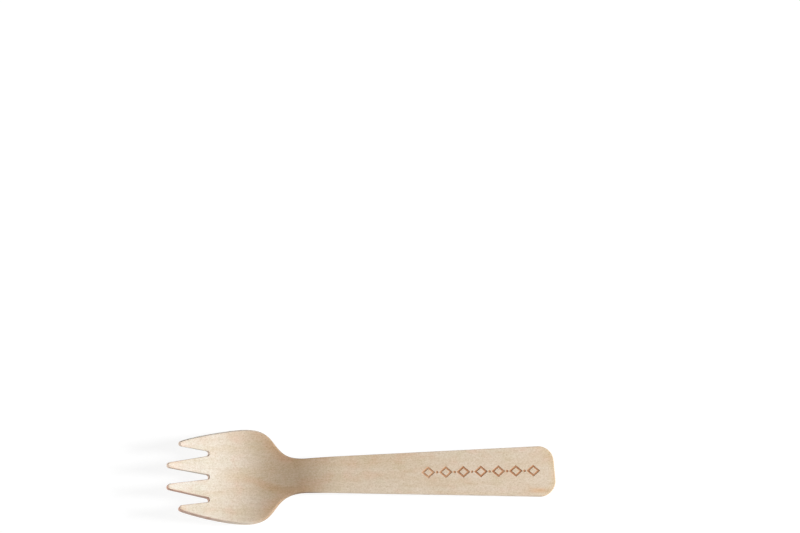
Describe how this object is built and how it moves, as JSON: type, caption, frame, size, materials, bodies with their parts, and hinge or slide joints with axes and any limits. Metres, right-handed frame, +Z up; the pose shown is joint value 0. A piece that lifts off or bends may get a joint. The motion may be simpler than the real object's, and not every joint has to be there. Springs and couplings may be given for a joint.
{
  "type": "wooden spork",
  "caption": "Small disposable spork pressed from one piece of birch veneer: shallow bowl with short tapered tines and a flat handle that widens to a rounded end.",
  "frame": {"origin": "centre of the part's footprint on the table, at table level", "axes": "+X along the spork from the tines towards the handle's end, +Z up, out of the hollow side, +Y across"},
  "size_m": [0.1002, 0.0246, 0.0078],
  "materials": {
    "birch_veneer": "unfinished, tumbled smooth, satin where the press was hot"
  },
  "bodies": {
    "root": {"spork": "birch_veneer"}
  },
  "joints": []
}
